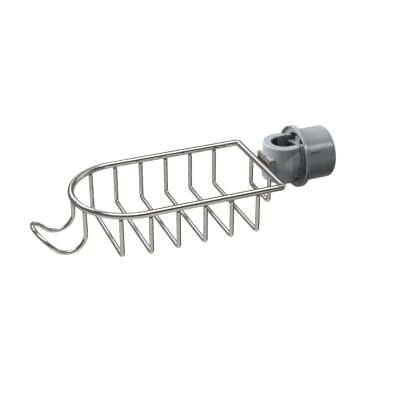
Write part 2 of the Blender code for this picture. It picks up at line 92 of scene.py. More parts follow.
# %% Colour and node helpers
def linear(hex_colour):
    """Linear RGBA of an sRGB hex colour: the sRGB curve undone on each channel."""
    channels = np.array([int(hex_colour[start:start + 2], 16) for start in (1, 3, 5)]) / 255
    dark, light = channels / 12.92, ((channels + 0.055) / 1.055) ** 2.4
    return (*np.where(channels <= 0.04045, dark, light).tolist(), 1.0)


def add_node(tree, kind, settings=None, links=None):
    """Add one node. Settings name sockets or properties, links name the sockets they feed."""
    node = tree.nodes.new(kind)
    for name, value in (settings or {}).items():
        if isinstance(name, int) or name in node.inputs:
            node.inputs[name].default_value = value
        else:
            setattr(node, name, value)
    for name, source in (links or {}).items():
        tree.links.new(source, node.inputs[name])
    return node


def new_material(name):
    """A material with an empty node tree, its output node and its Principled shader."""
    material = bpy.data.materials.new(name)
    material.use_nodes = True
    tree = material.node_tree
    tree.nodes.clear()
    output = add_node(tree, "ShaderNodeOutputMaterial")
    shader = add_node(tree, "ShaderNodeBsdfPrincipled")
    tree.links.new(shader.outputs["BSDF"], output.inputs["Surface"])
    return material, tree, shader


print("mid grey in linear light:", [round(c, 3) for c in linear("#808080")[:3]])

# %% [markdown]
# No real surface is even. Wear, polish and flow marks change a finish's colour and its
# gloss in the same places, because both have the same cause. Two separate patterns would
# look like paint over another paint. So each finish here has one noise that drives both.

# %% One pattern for colour and gloss
def wear(tree, shader, pattern, tint, roughness):
    """Let one noise carry the colour from tint to tint, and the roughness from end to end."""
    rough = add_node(tree, "ShaderNodeMapRange", {
        "From Min": 0.3, "From Max": 0.7, "To Min": roughness[0], "To Max": roughness[1]},
        {"Value": pattern.outputs["Fac"]})
    tree.links.new(rough.outputs["Result"], shader.inputs["Roughness"])
    colour = add_node(tree, "ShaderNodeMix", {
        "data_type": "RGBA", 6: linear(tint[0]), 7: linear(tint[1])},
        {0: pattern.outputs["Fac"]})
    tree.links.new(colour.outputs[2], shader.inputs["Base Color"])


print("noise of 0.3 to 0.7 spans the roughness, and the noise itself mixes the colours")

# %% [markdown]
# The basket's rods and wires are stainless steel, drawn through a die and polished bright
# after welding. Drawing leaves fine lines along the wire, and polishing leaves soft smears a
# few millimetres long. One even roughness would be enough for a chromed part, but here it
# would look like glass. The lines have to follow the wire round its bends, so the pattern
# reads the wire's own UV map, which is in metres along and round the wire. The smears are
# worked out in the object's own space, where bends don't matter.

# %% Polished stainless steel, drawn wire
LINE_STRETCH = 40            # a drawing line is this many times as long as it is wide
# A die leaves lines 0.05 mm apart. They would be too fine to show, so they are coarser here.
LINE_SPACING = 0.5 * MM


def drawn_stainless(name, tint, roughness, line_spacing):
    """Drawn and polished stainless: metal with faint lines along the wire and soft smears."""
    # To the eye: near-mirror stripes along the rod whose edges are a little unsteady.
    material, tree, shader = new_material(name)
    shader.inputs["Metallic"].default_value = 1.0
    uv = add_node(tree, "ShaderNodeUVMap", {"uv_map": "along_and_round"})
    lines_at = add_node(tree, "ShaderNodeMapping", {
        "Scale": (1 / (LINE_STRETCH * line_spacing), 1 / line_spacing, 1)},
        {"Vector": uv.outputs["UV"]})
    lines = add_node(tree, "ShaderNodeTexNoise", {
        "Scale": 1.0, "Detail": 2.0, "Roughness": 0.6}, {"Vector": lines_at.outputs["Vector"]})
    place = add_node(tree, "ShaderNodeTexCoord")
    smears = add_node(tree, "ShaderNodeTexNoise", {
        "Scale": 1 / (7 * MM), "Detail": 3.0, "Roughness": 0.55},
        {"Vector": place.outputs["Object"]})
    wear(tree, shader, smears, tint, (roughness * 0.75, roughness * 1.3))
    bump = add_node(tree, "ShaderNodeBump", {"Strength": 0.03, "Distance": 0.02 * MM},
                    {"Height": lines.outputs["Fac"]})
    tree.links.new(bump.outputs["Normal"], shader.inputs["Normal"])
    return material


ROD_STEEL = drawn_stainless("polished_stainless_rod", ("#cfcdca", "#c0beba"), 0.055,
                            LINE_SPACING)
WIRE_STEEL = drawn_stainless("polished_stainless_wire", ("#d2d0cd", "#c4c2be"), 0.07,
                             LINE_SPACING)
print("steels:", ROD_STEEL.name, WIRE_STEEL.name)

# %% [markdown]
# The hanger plate is stainless sheet that was ground and then polished to a satin, with its
# marks running across the plate. A mirror finish would be simpler, one low roughness, but
# the photograph shows no second image of the rod in the plate, only a soft gradient. So the
# roughness is higher here than on the rods, and the marks make it change from line to line.

# %% Satin-polished stainless sheet
def satin_sheet(name):
    """Ground and polished sheet: metal with fine marks that run across the plate."""
    # To the eye: a grey with soft gradients, lighter where it faces the lamps.
    material, tree, shader = new_material(name)
    shader.inputs["Metallic"].default_value = 1.0
    place = add_node(tree, "ShaderNodeTexCoord")
    # Real marks of this grit are 0.05 mm apart, too fine to show, so they are drawn coarser.
    spacing, length = 0.3 * MM, 8 * MM
    marks_at = add_node(tree, "ShaderNodeMapping", {
        "Scale": (1 / spacing, 1 / length, 1 / spacing)}, {"Vector": place.outputs["Object"]})
    marks = add_node(tree, "ShaderNodeTexNoise", {"Scale": 1.0, "Detail": 3.0},
                     {"Vector": marks_at.outputs["Vector"]})
    wear(tree, shader, marks, ("#bcb9b3", "#aeaba4"), (0.24, 0.36))
    bump = add_node(tree, "ShaderNodeBump", {"Strength": 0.04, "Distance": 0.02 * MM},
                    {"Height": marks.outputs["Fac"]})
    tree.links.new(bump.outputs["Normal"], shader.inputs["Normal"])
    return material


SHEET_STEEL = satin_sheet("satin_polished_sheet")
print("sheet:", SHEET_STEEL.name)

# %% [markdown]
# The clamp is moulded ABS, a grey plastic. The mould's fine satin texture breaks the
# highlight up a little, and the colour is very slightly uneven where the melt flowed.
# Handling polishes such a surface in soft patches. One colour and one roughness would give
# a toy's look, so both wander a little here, with one slow noise. The pressure block inside
# is the same plastic from a plainer mould, darker and duller.

# %% Moulded grey ABS
def moulded_abs(name, tint, roughness):
    """Satin ABS: fine mould grain as bump, slow change of colour and roughness."""
    # To the eye: a broad soft highlight with a grain that only shows close up.
    material, tree, shader = new_material(name)
    shader.inputs["IOR"].default_value = 1.53
    place = add_node(tree, "ShaderNodeTexCoord")
    flow = add_node(tree, "ShaderNodeTexNoise", {
        "Scale": 1 / (14 * MM), "Detail": 3.0, "Roughness": 0.5},
        {"Vector": place.outputs["Object"]})
    wear(tree, shader, flow, tint, (roughness * 0.88, roughness * 1.12))
    grain = add_node(tree, "ShaderNodeTexNoise", {
        "Scale": 1 / (0.25 * MM), "Detail": 2.0, "Roughness": 0.5},
        {"Vector": place.outputs["Object"]})
    bump = add_node(tree, "ShaderNodeBump", {"Strength": 0.10, "Distance": 0.03 * MM},
                    {"Height": grain.outputs["Fac"]})
    tree.links.new(bump.outputs["Normal"], shader.inputs["Normal"])
    return material


CLAMP_ABS = moulded_abs("satin_grey_abs", ("#94979a", "#8d9093"), 0.27)
SLIDE_ABS = moulded_abs("plain_grey_abs", ("#7a7d80", "#727578"), 0.40)
print("plastics:", CLAMP_ABS.name, SLIDE_ABS.name)

# %% [markdown]
# The liner and the pad that do the gripping are moulded rubber, matt and nearly black.
# Rubber that lies in the air gets a dry, pale bloom in patches. Plain black would make a
# hole in the picture, so the bloom lightens the colour and dulls the surface where it lies.

# %% Moulded black rubber
def moulded_rubber(name):
    """Matt rubber: nearly black, with a pale bloom a few millimetres wide and a fine grain."""
    # To the eye: a soft dark grey that shows its shape but has no highlight.
    material, tree, shader = new_material(name)
    shader.inputs["IOR"].default_value = 1.52
    place = add_node(tree, "ShaderNodeTexCoord")
    bloom = add_node(tree, "ShaderNodeTexNoise", {
        "Scale": 1 / (5 * MM), "Detail": 4.0}, {"Vector": place.outputs["Object"]})
    wear(tree, shader, bloom, ("#1c1c1c", "#2c2c2b"), (0.6, 0.8))
    grain = add_node(tree, "ShaderNodeTexNoise", {
        "Scale": 1 / (0.3 * MM), "Detail": 2.0}, {"Vector": place.outputs["Object"]})
    bump = add_node(tree, "ShaderNodeBump", {"Strength": 0.2, "Distance": 0.05 * MM},
                    {"Height": grain.outputs["Fac"]})
    tree.links.new(bump.outputs["Normal"], shader.inputs["Normal"])
    return material


RUBBER = moulded_rubber("matt_black_rubber")
print("rubber:", RUBBER.name)

# %% [markdown]
# A finished piece is a mesh whose object stays at the origin, with its place in its points.
# The mesh could be filled from lists, but a moulding here has tens of thousands of points,
# and whole arrays go in at once. One function does that for every piece. It also hands the
# object to the body it moves with, and hides the plain solid that it stands for.

# %% From arrays to a finished piece
def add_piece(name, points, faces, material, body, stands_for, uv=None):
    """Make a smooth mesh object, hang it on its body's empty, and hide the solids it stands for.
    """
    mesh = bpy.data.meshes.new(name)
    mesh.vertices.add(len(points))
    mesh.vertices.foreach_set("co", np.asarray(points, dtype=np.float32).ravel())
    corners = np.concatenate([np.asarray(face).ravel() for face in faces]).astype(np.int32)
    sizes = np.concatenate([np.full(len(face), np.shape(face)[1]) for face in faces])
    mesh.loops.add(len(corners))
    mesh.loops.foreach_set("vertex_index", corners)
    mesh.polygons.add(len(sizes))
    starts = np.concatenate([[0], np.cumsum(sizes)[:-1]]).astype(np.int32)
    mesh.polygons.foreach_set("loop_start", starts)
    if uv is not None:
        layer = mesh.uv_layers.new(name="along_and_round")
        layer.data.foreach_set("uv", np.asarray(uv, dtype=np.float32).ravel())
    mesh.update(calc_edges=True)
    mesh.validate()
    mesh.shade_smooth()
    mesh.materials.append(material)
    obj = bpy.data.objects.new(name, mesh)
    bpy.context.scene.collection.objects.link(obj)
    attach(obj, body)
    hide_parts(*stands_for)
    print(f"{name}: {len(points)} points, {len(sizes)} faces")


# %% [markdown]
# A wire is a circle carried along a path. A curve with a bevel could make it, but then the
# ends, the twist and the pattern along the wire would be the curve's choice. So the rings
# are computed. The ring at each point of the path needs two directions across the wire.
# Every wire here lies in a surface whose normal is known, a plane for the rim and the ribs
# and a bent strip for the hook, so the first direction is that normal and the second is the
# cross product with the wire's own direction. That way the rings never twist.

# %% Carry a circle along a path
def directions(path):
    """Unit direction along a path at each of its points, from its neighbours."""
    along = np.gradient(path, axis=0)
    return along / np.linalg.norm(along, axis=1, keepdims=True)


def wire_surface(path, normals, radius, sides):
    """Rings: path + radius * (cos(a) * normal + sin(a) * direction x normal), and flat ends."""
    path = np.asarray(path, dtype=float)
    normals = np.broadcast_to(np.asarray(normals, dtype=float), path.shape)
    side = np.cross(directions(path), normals)
    angle = np.linspace(0, 2 * math.pi, sides, endpoint=False)[None, :, None]
    rings = path[:, None] + radius * (
        np.cos(angle) * normals[:, None] + np.sin(angle) * side[:, None])
    row = np.arange(len(path) - 1)[:, None] * sides
    here, there = np.arange(sides), (np.arange(sides) + 1) % sides
    quads = np.stack([row + here, row + sides + here, row + sides + there, row + there], axis=-1)
    length = np.concatenate([[0], np.cumsum(np.linalg.norm(np.diff(path, axis=0), axis=1))])
    u0, u1 = length[:-1, None] + 0 * here, length[1:, None] + 0 * here
    arc_length = 2 * math.pi * radius / sides
    v0, v1 = here * arc_length + 0 * u0, (here + 1) * arc_length + 0 * u0
    uv = np.stack([np.stack([u0, v0], -1), np.stack([u1, v0], -1),
                   np.stack([u1, v1], -1), np.stack([u0, v1], -1)], axis=2).reshape(-1, 2)
    last = (len(path) - 1) * sides
    ends = [here[None, :], (last + here)[::-1][None, :]]
    uv = np.concatenate([uv, np.zeros((2 * sides, 2))])
    return rings.reshape(-1, 3), [quads.reshape(-1, 4)] + ends, uv


def arc_points(centre, radius, start, end, steps):
    """Points of an arc in a plane: centre + radius * (cos a, sin a), a from start to end."""
    angle = np.linspace(start, end, steps + 1)
    return np.stack([centre[0] + radius * np.cos(angle), centre[1] + radius * np.sin(angle)], 1)


# %% [markdown]
# The rim is a 7 mm rod bent to a half circle at the far end, and a straight rod closes the
# clamp end. A bender turns each corner on a small radius, and the two rods meet half-way
# round it, cut at 45 degrees with their edges broken for the weld. The corner could be a
# plain sharp mitre, but the photograph shows it round on the outside. So both paths carry
# half of the bend, and their last rings shrink a little to leave the groove of the joint.

# %% Rim rod and end rod
ROD_SIDES = 40
CORNER_BEND_R = ROD_R + 0.2 * MM
SEAM_HALF = 0.03 * MM        # half the gap in the joint
SEAM_EDGE = 0.35 * MM        # how far the rods' ends are broken
NEXT_RING_SHARE = 0.4        # the share of that on the ring before the end


def corner_bend(start, end):
    """Centre line of the bend at the near corner, between two angles about its centre."""
    centre = (END_X - CORNER_BEND_R, -RIM_HALF_WIDTH + CORNER_BEND_R)
    seam = SEAM_HALF / CORNER_BEND_R
    return arc_points(centre, CORNER_BEND_R, start + seam, end - seam, 14)


def on_rim_plane(flat):
    """Points of the plan lifted to the height of the rim."""
    return np.column_stack([flat, np.full(len(flat), RIM_Z)])


def break_ends(points, path, edge):
    """Shrink the end rings towards their centres, and the rings next to them by a share."""
    rings = points.reshape(len(path), ROD_SIDES, 3)
    for ring, share in ((0, 1.0), (1, NEXT_RING_SHARE), (-2, NEXT_RING_SHARE), (-1, 1.0)):
        rings[ring] += (path[ring] - rings[ring]) * share * edge / ROD_R
    return rings.reshape(-1, 3)


def rim_centre_line():
    """Half a bend, straight side, half circle about the round end's centre, and back."""
    bend = arc_points((ROUND_X, 0), RIM_HALF_WIDTH, -math.pi / 2, -3 * math.pi / 2, 96)
    side = np.linspace(END_X - CORNER_BEND_R, ROUND_X, 12, endpoint=False)[1:]
    near = np.stack([side, np.full_like(side, -RIM_HALF_WIDTH)], 1)
    near = np.concatenate([corner_bend(-math.pi / 2, -math.pi / 4)[::-1], near])
    return on_rim_plane(np.concatenate([near, bend, near[::-1] * (1, -1)]))


def end_centre_line():
    """The other half of the near bend, straight across, and half of the far bend."""
    near = corner_bend(-math.pi / 4, 0)
    side = np.linspace(near[-1, 1], -near[-1, 1], 15)[1:-1]
    across = np.stack([np.full_like(side, END_X), side], 1)
    return on_rim_plane(np.concatenate([near, across, near[::-1] * (1, -1)]))


for piece, line, solid in (("polished_rim_rod", rim_centre_line(), "rim_rod"),
                           ("polished_end_rod", end_centre_line(), "end_rod")):
    rod_points, rod_faces, rod_uv = wire_surface(line, (0, 0, 1), ROD_R, ROD_SIDES)
    rod_points = break_ends(rod_points, line, SEAM_EDGE)
    add_piece(piece, rod_points, rod_faces, ROD_STEEL, "basket", [solid],
              rod_uv)

# %% [markdown]
# Each rib is a 4.8 mm wire bent to a U. Its legs stand right under the rim's centre line and
# are welded to it, so here they run up into the rod. The bend has the small radius that a
# wire bender gives, and the bottom run is straight. One rib could be copied six times by an
# array, but the last one stands where the rim already turns in, and is narrower. So every
# rib reads its place, width and drop from its own solid, and one function serves them all,
# the shallow end rib too.

# %% Ribs
WIRE_SIDES = 28
RIB_BEND_R = 4.5 * MM
SINK = 2.2 * MM              # how far a welded wire runs into the rod above it


def rib_centre_line(x, half_width, drop, top):
    """U in a plane of constant x: down one leg, a quarter circle, across, and up again."""
    low = RIM_Z - drop
    near = arc_points((-half_width + RIB_BEND_R, low + RIB_BEND_R), RIB_BEND_R,
                      math.pi, 3 * math.pi / 2, 14)
    leg = np.linspace(top, low + RIB_BEND_R, 8, endpoint=False)
    down = np.stack([np.full_like(leg, -half_width), leg], 1)
    half = np.concatenate([down, near, [[0, low]]])
    flat = np.concatenate([half, half[-2::-1] * (-1, 1)])
    return np.column_stack([np.full(len(flat), x), flat])


def add_rib(node):
    """Dress one rib node: its place, width and drop are read from its solid."""
    low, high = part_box(node)
    line = rib_centre_line(
        (low.x + high.x) / 2, (high.y - low.y) / 2 - WIRE_R, RIM_Z - low.z - WIRE_R,
        RIM_Z - ROD_R + SINK)
    points, faces, uv = wire_surface(line, (1, 0, 0), WIRE_R, WIRE_SIDES)
    add_piece(node + "_wire", points, faces, WIRE_STEEL, "basket", [node], uv)


RIB_NODES = [f"rib_{number}" for number in range(1, 7)] + ["end_rib"]
for rib_node in RIB_NODES:
    add_rib(rib_node)

# %% [markdown]
# The hook is one wire bent twice: first flat, to a U with parallel legs, then over a
# roller, so that the flat U runs down from the rim, round a bend and out again at a slope.
# Its path could be placed by hand, point by point, but the two bends are easier to say one
# after the other, as they are made. The path is a flat U drawn on a strip, and the strip's
# side view says where each length of wire ends up. The strip's normal carries the rings.

# %% Hook at the round end
HOOK_BEND_R = 18.3 * MM
HOOK_TURN = math.radians(135)
HOOK_HALF_WIDTH = (hook_high.y - hook_low.y) / 2 - WIRE_R
HOOK_X = hook_high.x - WIRE_R
HOOK_DROP = RIM_Z - hook_low.z - WIRE_R - HOOK_BEND_R


def strip_point(run, aside):
    """Straight down, then a circle of 135 degrees, then straight out and up at 45 degrees."""
    turn = np.clip((run - HOOK_DROP) / HOOK_BEND_R, 0, HOOK_TURN)
    straight = np.maximum(run - HOOK_DROP - HOOK_BEND_R * HOOK_TURN, 0)
    rise = HOOK_TURN - math.pi / 2
    out = HOOK_BEND_R * (1 - np.cos(turn)) + straight * math.cos(rise)
    down = np.minimum(run, HOOK_DROP) + HOOK_BEND_R * np.sin(turn) - straight * math.sin(rise)
    place = np.stack([HOOK_X - out, aside, RIM_Z - down], 1)
    normal = np.stack([np.cos(turn), 0 * turn, -np.sin(turn)], 1)
    return place, normal


leg_run = np.concatenate([
    np.linspace(ROD_R - SINK, HOOK_DROP, 8, endpoint=False),
    HOOK_DROP + np.linspace(0, HOOK_BEND_R * HOOK_TURN, 44, endpoint=False)])
tip = arc_points((HOOK_DROP + HOOK_BEND_R * HOOK_TURN, 0), HOOK_HALF_WIDTH,
                 -math.pi / 2, math.pi / 2, 60)
flat_run = np.concatenate([leg_run, tip[:, 0], leg_run[::-1]])
flat_side = np.concatenate([
    np.full_like(leg_run, -HOOK_HALF_WIDTH), tip[:, 1], np.full_like(leg_run, HOOK_HALF_WIDTH)])
hook_line, hook_normals = strip_point(flat_run, flat_side)
hook_points, hook_faces, hook_uv = wire_surface(hook_line, hook_normals, WIRE_R, WIRE_SIDES)
add_piece("hook_bent_wire", hook_points, hook_faces, WIRE_STEEL, "basket",
          ["hook_wire"], hook_uv)

# %% [markdown]
# Moulded plastic has no sharp edges, and its bosses and ribs grow out of each other with
# small fillets. Boolean and bevel modifiers could make it, but they often fail where many
# round shapes meet, as they do in this clamp. A shape like that is easy to say as a
# distance: a function that is negative inside the material, zero on its skin and positive
# outside. The larger of two distances cuts one shape with the other, the smaller joins
# them, and a soft maximum or minimum rounds the edge between them.

# %% Distances and how they combine
def soft_min(first, second, radius):
    """The smaller of two: a blend by their difference, less radius * share * (1 - share)."""
    share = np.clip(0.5 + 0.5 * (second - first) / radius, 0, 1)
    return second + (first - second) * share - radius * share * (1 - share)


def soft_max(first, second, radius):
    """The larger of two with the edge between them rounded: soft_min turned inside out."""
    return -soft_min(-first, -second, radius)


def rounded(outward, endways, edge):
    """Distance to a rim made by two faces: outward past the side, endways past the end."""
    a, b = outward + edge, endways + edge
    return np.hypot(np.maximum(a, 0), np.maximum(b, 0)) + np.minimum(np.maximum(a, b), 0) - edge


def rounded_box(x, y, z, low, high, edge):
    """Distance to a box with round edges: how far to a box smaller by the edge, less the edge."""
    middle, half = (np.add(low, high) / 2, np.subtract(high, low) / 2 - edge)
    gaps = [np.abs(value - middle[i]) - half[i] for i, value in enumerate((x, y, z))]
    outside = np.sqrt(sum(np.maximum(gap, 0) ** 2 for gap in gaps))
    inside = np.minimum(np.maximum(np.maximum(gaps[0], gaps[1]), gaps[2]), 0)
    return outside + inside - edge


# %% [markdown]
# A distance becomes a mesh with a surface net. Space is cut into small cubes, every cube
# that the skin passes through gets one point, the average of where its edges are crossed,
# and every crossed edge gets one face between the four cubes round it. Marching cubes would
# do too, but they need a long table of cases and leave thin triangles, while a net gives
# even four-sided faces. A few steps along the slope of the distance then move each point
# exactly onto the skin.

# %% Surface net
GRID_START = 2.37            # in steps: no flat face then runs exactly through grid points
SLOPE_REACH_SHARE = 0.02     # how far apart the slope is measured, as a share of a step
LEAST_SLOPE = 0.2            # keeps a move short where soft edges make the slope small


def crossed_edges(field, axis):
    """Grid edges along an axis whose ends lie on either side of the skin."""
    count = field.shape[axis] - 1
    first = np.take(field, np.arange(count), axis) < 0
    second = np.take(field, np.arange(1, count + 1), axis) < 0
    start = np.argwhere(first != second)
    step = np.eye(3, dtype=int)[axis]
    before, after = field[tuple(start.T)], field[tuple((start + step).T)]
    place = start.astype(float)
    place[:, axis] += before / (before - after)
    return start, place, before < 0


def onto_skin(distance, points, step):
    """Move points along the distance's slope until the distance is zero, four times."""
    for _ in range(4):
        value = distance(*points.T)
        reach = step * SLOPE_REACH_SHARE
        slope = np.stack([
            distance(*(points + reach * axis).T) - distance(*(points - reach * axis).T)
            for axis in np.eye(3)], 1) / (2 * reach)
        move = value / np.maximum((slope ** 2).sum(1), LEAST_SLOPE)
        points = points - slope * np.clip(move, -step / 2, step / 2)[:, None]
    return points


def surface_net(distance, low, high, step):
    """Points and faces of the skin where the distance is zero, in cubes of the given step."""
    axes = [np.arange(a - GRID_START * step, b + 3 * step, step) for a, b in zip(low, high)]
    field = distance(*np.meshgrid(*axes, indexing="ij"))
    cells = np.array(field.shape) - 1
    total, hits, quads = np.zeros((3, cells.prod())), np.zeros(cells.prod()), []
    for axis in range(3):
        start, place, leaving = crossed_edges(field, axis)
        corners = []
        for shift_u, shift_v in ((0, 0), (-1, 0), (-1, -1), (0, -1)):
            cell = start.copy()
            cell[:, (axis + 1) % 3] += shift_u
            cell[:, (axis + 2) % 3] += shift_v
            index = np.ravel_multi_index(cell.T, cells)
            hits += np.bincount(index, minlength=len(hits))
            total += [np.bincount(index, part, len(hits)) for part in place.T]
            corners.append(index)
        quad = np.stack(corners, 1)
        quads.append(np.where(leaving[:, None], quad, quad[:, ::-1]))
    used = hits > 0
    number = np.cumsum(used) - 1
    points = (total[:, used] / hits[used]).T * step + [axis[0] for axis in axes]
    return onto_skin(distance, points, step), [number[np.concatenate(quads)]]


# %% [markdown]
# The barrel is a coned boss that ends in two threaded arms, flat at the top and the bottom.
# The thread could be a ridge from the screw modifier, laid on a cylinder, but it would have
# to be cut off at the flats and at the slot afterwards. As a distance it is only a wave in
# the radius of a turned profile, one turn for each pitch. The nut reads the same wave.

# %% Barrel and thread
CUT_EDGE = 0.5 * MM
BOSS_R = body_high.y
# Places along X of the turned profile: before the barrel, the cone's narrow end, its wide end,
# the boss's last full width, the foot of the thread, and past the arms.
BOSS_XS = np.array([-20.6, -12.6, -0.6, 8.4, 8.7, 60.0]) * MM
CONE_R = 17.8 * MM
CONE_SLOPE = 0.85            # about the cosine of the cone's angle, to keep its distance true
BARREL_FLAT = 20.0 * MM
TIP_EDGE = 1.0 * MM
THREAD_PITCH = 3.0 * MM      # the nut moves this far in each turn
THREAD_DEPTH = 1.6 * MM
THREAD_PHASE = 0.6           # in turns, where the thread starts
RIDGE_FOOT_SHARE = 0.45      # the part of the wave that lies under the ridge
RIDGE_FLANK_SHARE = 0.35     # the part that makes its sloping sides


def thread_ridge(x, y, z):
    """Height of the thread, 0 to 1: the cosine of x / pitch less the turn about X, clipped."""
    turns = x / THREAD_PITCH - np.arctan2(z, y) / (2 * math.pi) + THREAD_PHASE
    wave = 0.5 + 0.5 * np.cos(2 * math.pi * turns)
    return np.clip((wave - RIDGE_FOOT_SHARE) / RIDGE_FLANK_SHARE, 0, 1)


def barrel_distance(x, y, z):
    """Boss and arms: a turned profile about X with a thread, flat at its top and bottom."""
    root = BOSS_R - THREAD_DEPTH
    profile = np.interp(x, BOSS_XS, [2 * CONE_R - BOSS_R, CONE_R, BOSS_R, BOSS_R, root, root])
    ridge = THREAD_DEPTH * thread_ridge(x, y, z) * (x > BOSS_XS[3])
    side = (np.hypot(y, z) - np.minimum(profile + ridge, BOSS_R)) * CONE_SLOPE
    barrel = rounded(side, x - body_high.x, TIP_EDGE)
    barrel = np.maximum(barrel, BOSS_XS[1] - x)
    return soft_max(barrel, np.abs(z) - BARREL_FLAT, CUT_EDGE)


print(f"thread: pitch {THREAD_PITCH / MM:.1f} mm, {THREAD_DEPTH / MM:.1f} mm deep, "
      f"on a barrel {2 * BOSS_R / MM:.1f} mm wide")

# %% [markdown]
# The hanger's tab drops into a pocket in the block on the clamp's other side, through a
# window in the block's face. Their sizes could be typed in, but a change to the tab would
# then leave them behind. So the two boxes are worked out from the tab's own box and a small
# gap. The window is higher than the tab, so that the tab can be lifted out.

# %% Pocket for the hanger's tab
SHEET_T = 1.0 * MM           # the hanger's sheet
TAB_GAP = 0.3 * MM
TAB_HEADROOM = 5.3 * MM      # the window is this much higher than the tab
OVERRUN = 2.5 * MM           # how far the window's cut starts before the face


def pocket_distance(x, y, z):
    """Window in the block's face and the pocket behind it, for the hanger's tab."""
    side = tab_high.y + TAB_GAP
    wall_top = tab_high.z - SHEET_T - TAB_GAP
    roof = tab_high.z + TAB_HEADROOM
    back = tab_high.x + TAB_GAP
    window = rounded_box(x, y, z, (body_low.x - OVERRUN, -side, wall_top), (back, side, roof),
                         CUT_EDGE / 2)
    pocket = rounded_box(x, y, z, (back - SHEET_T - 2 * TAB_GAP, -side, tab_low.z - TAB_GAP),
                         (back, side, roof), CUT_EDGE / 2)
    return np.minimum(window, pocket)


print(f"window for a tab {(tab_high.y - tab_low.y) / MM:.1f} mm wide")

# %% [markdown]
# The clamp body is one moulding: a collar, the barrel on its one side and the hanger's block
# on the other. A bore with a slot runs through it from top to bottom, and a recess inside
# holds the liner. Each of these could be a mesh of its own, pushed into the next, but then
# hard lines would show where they meet. As one distance they flow into each other, as in
# the mould.

# %% Clamp body
BODY_R = 22.0 * MM
BODY_EDGE = 1.0 * MM
BODY_FILLET = 0.35 * MM
SHOULDER_X = 10.0 * MM
SLOT_HALF = 13.3 * MM
RECESS_R = 15.5 * MM
LIP = 2.5 * MM               # what is left of the bore above and below the recess
BLOCK_DROP = 8.0 * MM        # the block reaches this far below the rim's centre line
BLOCK_STEP = 0.5 * MM        # and ends this far below the plate's top edge
MOULD_EDGE = 0.6 * MM        # the usual round edge of these mouldings


def clamp_body_distance(x, y, z):
    """Collar joined with barrel and block, then cut by the bore, the recess and the pocket."""
    collar = rounded(np.hypot(x, y) - BODY_R, np.abs(z) - body_high.z, BODY_EDGE)
    collar = soft_max(collar, x - SHOULDER_X, CUT_EDGE)
    shape = soft_min(collar, barrel_distance(x, y, z), BODY_FILLET)
    block = rounded_box(x, y, z, (body_low.x, -plate_high.y, RIM_Z - BLOCK_DROP),
                        (-RECESS_R, plate_high.y, plate_high.z - BLOCK_STEP), MOULD_EDGE)
    shape = soft_min(shape, block, BODY_FILLET)
    slot = np.where(x < 0, np.hypot(x, y), np.abs(y)) - SLOT_HALF
    shape = soft_max(shape, -slot, CUT_EDGE)
    recess = np.maximum(np.maximum(np.hypot(x, y) - RECESS_R, x),
                        np.abs(z) - (body_high.z - LIP))
    shape = soft_max(shape, -recess, CUT_EDGE / 2)
    return soft_max(shape, -pocket_distance(x, y, z), CUT_EDGE / 2)


NET_STEP = 0.47 * MM
body_points, body_faces = surface_net(clamp_body_distance, body_low, body_high, NET_STEP)
add_piece("moulded_clamp_body", body_points, body_faces, CLAMP_ABS, "clamp",
          ["clamp_body"])

# %% [markdown]
# The nut is a deep cap with a flange at its open end. It is thin-walled, its far edge is
# well rounded, and three raised ribs give the fingers a grip. The inside carries the
# thread that runs on the arms. Its outside is a turned profile and could be spun about its
# axis, but the ribs and the thread would have to be cut in afterwards. As a distance they
# are one more minimum and one more maximum. The thread starts a little inside the mouth,
# behind a plain lead-in that guides the nut onto the arms.

# %% Clamp nut
NUT_R = 28.7 * MM
NUT_END_R = 28.4 * MM
NUT_EDGE = 2.5 * MM
FLANGE_T = 4.9 * MM
FLANGE_WALL = 1.3 * MM
FLANGE_FILLET = 0.9 * MM
MOUTH_DEPTH = 3.7 * MM
THREAD_LEAD_IN = 2.0 * MM    # plain bore before the nut's thread begins
CAP_T = 3.3 * MM
NUT_PLAY = 0.4 * MM
GRIP_LENGTH, GRIP_WIDTH, GRIP_HEIGHT = 16.0 * MM, 3.5 * MM, 1.5 * MM
GRIP_EDGE = 0.35 * MM
GRIP_ROOT = 2.5 * MM         # how far a grip rib reaches into the nut's wall
GRIP_START = 32              # degrees from the near side to the rib that the camera sees
GRIP_ANGLES = [math.radians(GRIP_START + 120 * index) for index in range(3)]
NUT_STEP = 0.55 * MM


def grip_distance(x, y, z, angle):
    """One grip rib: a rounded bar laid along the nut's side at an angle about its axis."""
    out = -y * math.cos(angle) + z * math.sin(angle)
    aside = y * math.sin(angle) + z * math.cos(angle)
    low = (nut_low.x + FLANGE_T / 2, -GRIP_WIDTH / 2, NUT_R - GRIP_ROOT)
    high = (nut_low.x + FLANGE_T + GRIP_LENGTH, GRIP_WIDTH / 2, NUT_R + GRIP_HEIGHT)
    return rounded_box(x, aside, out, low, high, GRIP_EDGE)


def clamp_nut_distance(x, y, z):
    """Tapered body with a round end, joined with flange and grips, then hollowed."""
    around = np.hypot(y, z)
    flange_back = nut_low.x + FLANGE_T
    taper = np.interp(x, (flange_back, nut_high.x), (NUT_R, NUT_END_R))
    shape = rounded(around - taper, np.maximum(x - nut_high.x, nut_low.x + MOUTH_DEPTH - x),
                    NUT_EDGE)
    flange = rounded(around - nut_high.z, np.maximum(x - flange_back, nut_low.x - x),
                     MOULD_EDGE)
    shape = soft_min(shape, flange, FLANGE_FILLET)
    for angle in GRIP_ANGLES:
        shape = soft_min(shape, grip_distance(x, y, z, angle), GRIP_EDGE)
    mouth = rounded(around - (nut_high.z - FLANGE_WALL), x - nut_low.x - MOUTH_DEPTH, CUT_EDGE)
    threaded = x > nut_low.x + MOUTH_DEPTH + THREAD_LEAD_IN
    groove = THREAD_DEPTH * (1 - thread_ridge(x, y, z)) / 2 * threaded
    bore = np.maximum(around - BOSS_R - NUT_PLAY + groove, x - nut_high.x + CAP_T)
    shape = soft_max(shape, -mouth, CUT_EDGE)
    return soft_max(shape, -bore, CUT_EDGE)


